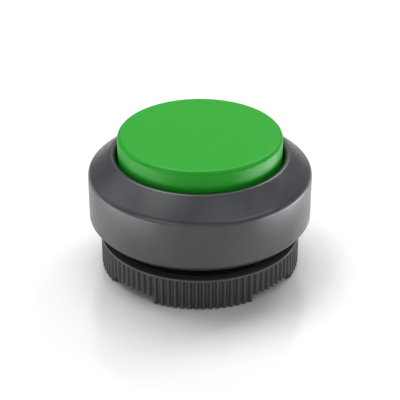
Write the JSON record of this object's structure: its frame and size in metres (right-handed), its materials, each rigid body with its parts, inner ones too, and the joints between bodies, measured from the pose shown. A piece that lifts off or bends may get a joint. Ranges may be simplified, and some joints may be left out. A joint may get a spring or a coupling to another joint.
{
  "type": "industrial push button",
  "caption": "Flush momentary push button for a round panel hole: low conical front ring, flat round cap, threaded barrel with gasket and ribbed ring nut.",
  "frame": {"origin": "on the button's axis, in the plane of the barrel's rear coupling face, the lowest point of the part", "axes": "+Z along the axis from the rear face to the cap; +Y towards the anti-twist lug (12 o'clock when mounted); the cap is pushed along -Z"},
  "size_m": [0.0298, 0.0298, 0.019],
  "materials": {
    "barrel": "matt glass-filled nylon",
    "front_ring": "fine satin moulded texture",
    "seals": "matt moulded rubber",
    "bush": "natural acetal",
    "steel": "bright zinc-plated",
    "cap": "satin moulded, solid green",
    "plunger": "smooth acetal",
    "nut": "satin glass-filled nylon"
  },
  "bodies": {
    "housing": {"threaded_barrel": "barrel", "front_ring": "front_ring", "panel_gasket": "seals", "ring_seal": "seals", "wiper_seal": "seals", "seal_clamp_ring": "barrel", "guide_bush": "bush", "stop_cushion": "seals", "spring_seat": "steel", "return_spring": "steel"},
    "button": {"push_cap": "cap", "cap_seal": "seals", "plunger": "plunger", "pusher_plate": "bush", "pusher_screw": "steel"},
    "nut_washer": {"thrust_washer": "barrel"},
    "nut": {"ring_nut": "nut"}
  },
  "joints": [
    {"name": "button_press", "type": "slide", "parent": "housing", "child": "button", "axis": [0, 0, -1], "range_m": [0, 0.0024], "stiffness_N_per_m": 800, "springref_m": -0.003, "deforming": ["return_spring"]},
    {"name": "nut_travel", "type": "slide", "parent": "housing", "child": "nut_washer", "axis": [0, 0, 1], "range_m": [-0.00302, 0.00096]},
    {"name": "nut_turn", "type": "hinge", "parent": "nut_washer", "child": "nut", "pos_m": [0, 0, 0.0023], "axis": [0, 0, 1], "range_deg": [-720, 228]}
  ],
  "couplings": [
    {"joint": "nut_travel", "follows": "nut_turn", "m_per_rad": 0.00023873}
  ]
}
